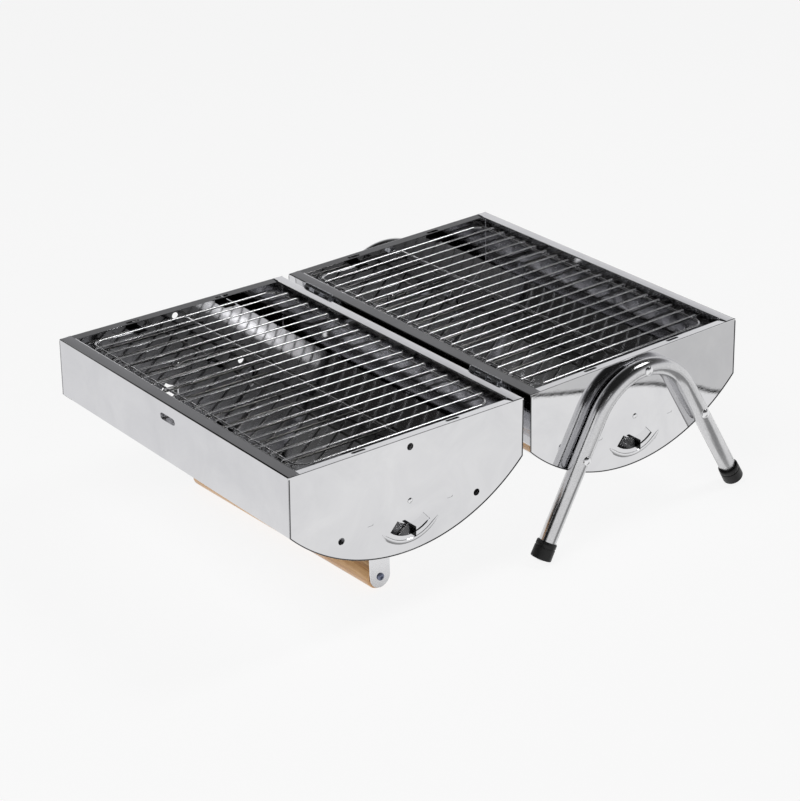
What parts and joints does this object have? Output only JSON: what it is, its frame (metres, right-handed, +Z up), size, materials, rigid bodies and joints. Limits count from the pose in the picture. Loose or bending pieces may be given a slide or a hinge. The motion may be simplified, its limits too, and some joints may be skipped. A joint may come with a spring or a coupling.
{
  "type": "portable charcoal grill",
  "caption": "Portable charcoal grill: two hinged half-barrel steel bowls opened flat, wire grates, bent tube legs and a wooden handle that doubles as a foot.",
  "frame": {"origin": "on the floor, in the middle of the opened grill's bounding box", "axes": "+X along the hinge line, +Y from the lid bowl to the base bowl, +Z up"},
  "size_m": [0.466, 0.6061, 0.1995],
  "materials": {
    "mirror_steel": "mirror-polished stainless sheet and tube",
    "chromed_wire": "bright chromed wire",
    "coal_wire": "dull chromed wire",
    "zinc_plate": "zinc-plated or plain steel hardware",
    "varnished_wood": "clear-varnished light hardwood",
    "black_rubber": "matt black"
  },
  "bodies": {
    "base": {"base_damper_rivet_far": "zinc_plate", "base_damper_rivet_near": "zinc_plate", "base_end_panel_far": "mirror_steel", "base_end_panel_near": "mirror_steel", "base_shell": "mirror_steel", "foot_cap_far_hinge_side": "black_rubber", "foot_cap_far_latch_side": "black_rubber", "foot_cap_near_hinge_side": "black_rubber", "foot_cap_near_latch_side": "black_rubber", "hinge_base_leaf_far": "zinc_plate", "hinge_base_leaf_near": "zinc_plate", "hinge_pin_far": "zinc_plate", "hinge_pin_near": "zinc_plate", "latch_bracket": "mirror_steel", "latch_pin": "zinc_plate", "latch_rivet_far": "zinc_plate", "latch_rivet_near": "zinc_plate", "leg_bolt_far_hinge_side": "zinc_plate", "leg_bolt_far_latch_side": "zinc_plate", "leg_bolt_far_top": "zinc_plate", "leg_bolt_near_hinge_side": "zinc_plate", "leg_bolt_near_latch_side": "zinc_plate", "leg_bolt_near_top": "zinc_plate", "leg_far": "mirror_steel", "leg_near": "mirror_steel", "leg_nut_far_hinge_side": "zinc_plate", "leg_nut_far_latch_side": "zinc_plate", "leg_nut_far_top": "zinc_plate", "leg_nut_near_hinge_side": "zinc_plate", "leg_nut_near_latch_side": "zinc_plate", "leg_nut_near_top": "zinc_plate"},
    "lid": {"handle_grip": "varnished_wood", "handle_screw_far": "zinc_plate", "handle_screw_near": "zinc_plate", "handle_strap_far": "zinc_plate", "handle_strap_near": "zinc_plate", "hinge_lid_leaf_far": "zinc_plate", "hinge_lid_leaf_near": "zinc_plate", "lid_damper_rivet_far": "zinc_plate", "lid_damper_rivet_near": "zinc_plate", "lid_end_panel_far": "mirror_steel", "lid_end_panel_near": "mirror_steel", "lid_shell": "mirror_steel", "strap_bolt_far": "zinc_plate", "strap_bolt_near": "zinc_plate"},
    "base_charcoal_grate": {"base_charcoal_grate": "coal_wire"},
    "base_cooking_grate": {"base_cooking_grate": "chromed_wire"},
    "base_damper_far": {"base_damper_far": "mirror_steel"},
    "base_damper_near": {"base_damper_near": "mirror_steel"},
    "latch_hook": {"latch_hook": "mirror_steel"},
    "lid_charcoal_grate": {"lid_charcoal_grate": "coal_wire"},
    "lid_cooking_grate": {"lid_cooking_grate": "chromed_wire"},
    "lid_damper_far": {"lid_damper_far": "mirror_steel"},
    "lid_damper_near": {"lid_damper_near": "mirror_steel"}
  },
  "joints": [
    {"name": "lid_fold", "type": "hinge", "parent": "base", "child": "lid", "pos_m": [0, -0.0058, 0.1932], "axis": [-1, 0, 0], "range_deg": [0, 178.7]},
    {"name": "base_damper_near_turn", "type": "hinge", "parent": "base", "child": "base_damper_near", "pos_m": [0.21, 0.1442, 0.1212], "axis": [1, 0, 0], "range_deg": [-34, 40]},
    {"name": "base_damper_far_turn", "type": "hinge", "parent": "base", "child": "base_damper_far", "pos_m": [-0.21, 0.1442, 0.1212], "axis": [1, 0, 0], "range_deg": [-34, 40]},
    {"name": "lid_damper_near_turn", "type": "hinge", "parent": "lid", "child": "lid_damper_near", "pos_m": [0.21, -0.15772, 0.12534], "axis": [1, 0, 0], "range_deg": [-34, 40]},
    {"name": "lid_damper_far_turn", "type": "hinge", "parent": "lid", "child": "lid_damper_far", "pos_m": [-0.21, -0.15772, 0.12534], "axis": [1, 0, 0], "range_deg": [-34, 40]},
    {"name": "base_cooking_grate_lift", "type": "slide", "parent": "base", "child": "base_cooking_grate", "axis": [0, 0, 1], "range_m": [0, 0.05]},
    {"name": "base_charcoal_grate_lift", "type": "slide", "parent": "base", "child": "base_charcoal_grate", "axis": [0, 0, 1], "range_m": [0, 0.05]},
    {"name": "lid_cooking_grate_lift", "type": "slide", "parent": "lid", "child": "lid_cooking_grate", "axis": [0, 0.0274, 0.9996], "range_m": [0, 0.05]},
    {"name": "lid_charcoal_grate_lift", "type": "slide", "parent": "lid", "child": "lid_charcoal_grate", "axis": [0, 0.0274, 0.9996], "range_m": [0, 0.05]},
    {"name": "latch_swing", "type": "hinge", "parent": "base", "child": "latch_hook", "pos_m": [0, 0.2947, 0.1752], "axis": [1, 0, 0], "range_deg": [0, 180]}
  ]
}
